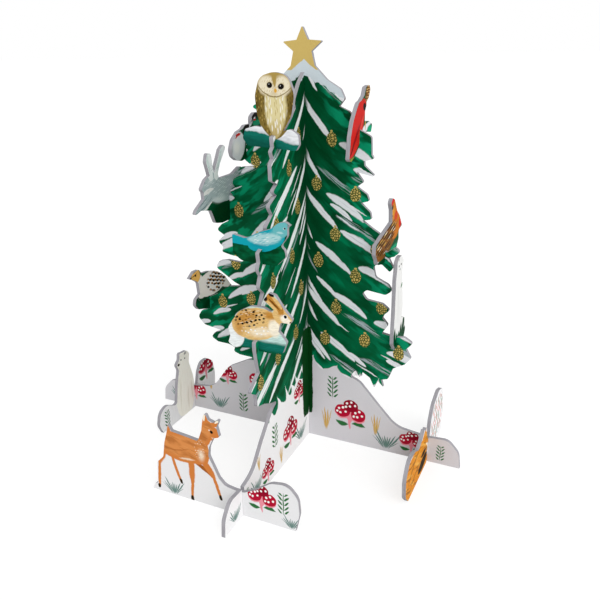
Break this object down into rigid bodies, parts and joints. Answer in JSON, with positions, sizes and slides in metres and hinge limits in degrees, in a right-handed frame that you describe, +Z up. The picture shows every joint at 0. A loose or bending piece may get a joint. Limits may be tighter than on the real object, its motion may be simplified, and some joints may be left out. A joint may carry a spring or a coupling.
{
  "type": "slot-together paper scene",
  "caption": "Slot-together paper scene: a snowy fir of two crossing printed boards on a cross-shaped snow mound, with animal-shaped boughs and feet that slot on.",
  "frame": {"origin": "on the ground, where the two crossing tree boards' mid-planes meet", "axes": "+Z up; the star board stands along X; the cross board stands along Y, with its near arm, the one that carries the deer foot, towards -Y"},
  "size_m": [0.3026, 0.3076, 0.3503],
  "materials": {
    "tree_board": "printed greyboard, satin paper face, cut grey edges",
    "deer_foot": "printed greyboard, satin paper face, cut grey edges",
    "bear_foot": "printed greyboard, satin paper face, cut grey edges",
    "fox_foot": "printed greyboard, satin paper face, cut grey edges",
    "rear_foot": "printed greyboard, satin paper face, cut grey edges",
    "owl_bough": "printed greyboard, satin paper face, cut grey edges",
    "blue_bird_bough": "printed greyboard, satin paper face, cut grey edges",
    "brown_hare_bough": "printed greyboard, satin paper face, cut grey edges",
    "woodpecker_bough": "printed greyboard, satin paper face, cut grey edges",
    "grey_hare_bough": "printed greyboard, satin paper face, cut grey edges",
    "quail_bough": "printed greyboard, satin paper face, cut grey edges",
    "red_bird_bough": "printed greyboard, satin paper face, cut grey edges",
    "orange_bird_bough": "printed greyboard, satin paper face, cut grey edges",
    "ermine_bough": "printed greyboard, satin paper face, cut grey edges",
    "rear_bough": "printed greyboard, satin paper face, cut grey edges"
  },
  "bodies": {
    "root": {"star_tree_board": "tree_board", "cross_tree_board": "tree_board", "deer_foot": "deer_foot", "bear_foot": "bear_foot", "fox_foot": "fox_foot", "rear_foot": "rear_foot", "owl_bough": "owl_bough", "blue_bird_bough": "blue_bird_bough", "brown_hare_bough": "brown_hare_bough", "woodpecker_bough": "woodpecker_bough", "grey_hare_bough": "grey_hare_bough", "quail_bough": "quail_bough", "red_bird_bough": "red_bird_bough", "orange_bird_bough": "orange_bird_bough", "ermine_bough": "ermine_bough", "rear_bough_high": "rear_bough", "rear_bough_middle": "rear_bough", "rear_bough_low": "rear_bough"}
  },
  "joints": []
}
